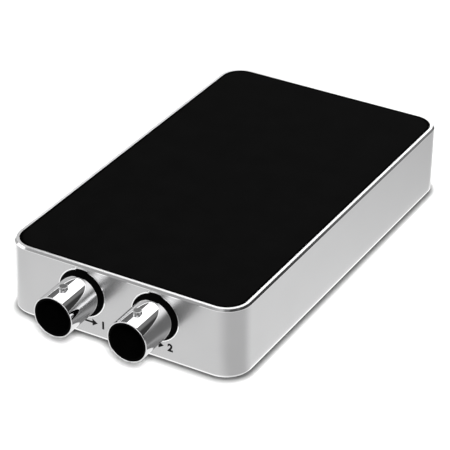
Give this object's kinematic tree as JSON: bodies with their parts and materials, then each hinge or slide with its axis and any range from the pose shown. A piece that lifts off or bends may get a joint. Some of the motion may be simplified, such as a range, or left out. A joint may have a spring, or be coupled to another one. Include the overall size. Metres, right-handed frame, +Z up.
{
  "type": "video capture box",
  "caption": "Flat rounded aluminium video capture box with a black top, bayonet video jacks in front and data and sound sockets behind.",
  "frame": {"origin": "on the surface it stands on, under the middle of the whole part, barrels included", "axes": "+Z up, -Y out of the video jacks, +Y out of the data and sound sockets, +X to the right seen from the jacks"},
  "size_m": [0.0584, 0.1112, 0.0176],
  "materials": {
    "housing": "bead-blasted satin, clear anodised",
    "panel": "smooth black, low sheen",
    "adhesive": "thin transfer tape",
    "cover": "satin sheet",
    "screw": "plated",
    "foot_rubber": "matt",
    "board": "solder mask over glass fibre",
    "jack_plating": "bright nickel",
    "jack_black": "moulded black",
    "jack_zinc": "tin-plated die casting",
    "contact_gold": "gold-plated",
    "usb_metal": "nickel-plated sheet",
    "usb_plastic": "moulded blue",
    "socket_plastic": "moulded black",
    "socket_metal": "nickel-plated",
    "light_pipe": "clear moulded",
    "lamp": "small lamps",
    "chip": "moulded epoxy",
    "coil": "pressed iron powder",
    "can": "drawn can",
    "crystal_can": "welded lid",
    "ceramic": "ceramic body",
    "shield": "tinned sheet",
    "pad": "soft filled silicone"
  },
  "bodies": {
    "root": {"housing": "housing", "top_panel": "panel", "panel_adhesive": "adhesive", "bottom_cover": "cover", "cover_screws": "screw", "board_spacers": "screw", "feet": "foot_rubber", "main_board": "board", "usb_shell": "usb_metal", "usb_insulator": "usb_plastic", "usb_contacts": "contact_gold", "light_pipes": "light_pipe", "status_lamps": "lamp", "processor": "chip", "thermal_pad": "pad", "memory_chips": "chip", "usb_controller": "chip", "video_receiver": "chip", "video_driver": "chip", "sound_codec": "chip", "flash_memory": "chip", "power_regulators": "chip", "power_coils": "coil", "crystals": "crystal_can", "small_parts": "ceramic", "capacitors": "can", "input_shield": "shield", "thru_jack_barrel": "jack_plating", "thru_jack_liner": "jack_black", "thru_jack_insulator": "jack_black", "thru_jack_contact": "contact_gold", "thru_jack_collar": "jack_black", "thru_jack_body": "jack_zinc", "input_jack_barrel": "jack_plating", "input_jack_liner": "jack_black", "input_jack_insulator": "jack_black", "input_jack_contact": "contact_gold", "input_jack_collar": "jack_black", "input_jack_body": "jack_zinc", "mic_socket_body": "socket_plastic", "mic_socket_sleeve": "socket_metal", "mic_socket_springs": "contact_gold", "line_socket_body": "socket_plastic", "line_socket_sleeve": "socket_metal", "line_socket_springs": "contact_gold"}
  },
  "joints": []
}
